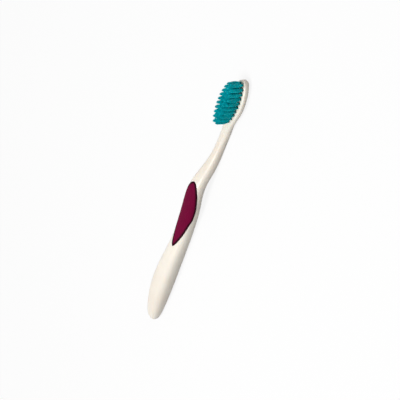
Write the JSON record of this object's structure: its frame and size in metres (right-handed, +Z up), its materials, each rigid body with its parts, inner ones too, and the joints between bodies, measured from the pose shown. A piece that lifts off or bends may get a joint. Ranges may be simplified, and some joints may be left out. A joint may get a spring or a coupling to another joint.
{
  "type": "manual toothbrush",
  "caption": "Manual toothbrush: slim curved ivory handle with an inlaid soft burgundy thumb pad, and an oval head set with rings of teal bristle tufts.",
  "frame": {"origin": "on the surface that the brush lies on, under the middle of its bounding box", "axes": "+X from the tail to the head's tip, +Z up, the way the bristles point, with the brush lying on its back; +Y to the left, looking from the tail to the head"},
  "size_m": [0.19, 0.0142, 0.0158],
  "materials": {
    "handle_plastic": "satin gloss moulded polypropylene",
    "pad_rubber": "fine matt stipple",
    "bristle_nylon": "drawn nylon filament, slightly translucent",
    "anchor_brass": "cut strip"
  },
  "bodies": {
    "root": {"handle": "handle_plastic", "grip_pad": "pad_rubber", "tuft_anchors": "anchor_brass", "tuft_outer_01": "bristle_nylon", "tuft_outer_02": "bristle_nylon", "tuft_outer_03": "bristle_nylon", "tuft_outer_04": "bristle_nylon", "tuft_outer_05": "bristle_nylon", "tuft_outer_06": "bristle_nylon", "tuft_outer_07": "bristle_nylon", "tuft_outer_08": "bristle_nylon", "tuft_outer_09": "bristle_nylon", "tuft_outer_10": "bristle_nylon", "tuft_outer_11": "bristle_nylon", "tuft_outer_12": "bristle_nylon", "tuft_outer_13": "bristle_nylon", "tuft_outer_14": "bristle_nylon", "tuft_outer_15": "bristle_nylon", "tuft_outer_16": "bristle_nylon", "tuft_outer_17": "bristle_nylon", "tuft_outer_18": "bristle_nylon", "tuft_outer_19": "bristle_nylon", "tuft_outer_20": "bristle_nylon", "tuft_inner_01": "bristle_nylon", "tuft_inner_02": "bristle_nylon", "tuft_inner_03": "bristle_nylon", "tuft_inner_04": "bristle_nylon", "tuft_inner_05": "bristle_nylon", "tuft_inner_06": "bristle_nylon", "tuft_inner_07": "bristle_nylon", "tuft_inner_08": "bristle_nylon", "tuft_inner_09": "bristle_nylon", "tuft_inner_10": "bristle_nylon", "tuft_inner_11": "bristle_nylon", "tuft_inner_12": "bristle_nylon", "tuft_inner_13": "bristle_nylon", "tuft_inner_14": "bristle_nylon", "tuft_inner_15": "bristle_nylon", "tuft_inner_16": "bristle_nylon"}
  },
  "joints": []
}
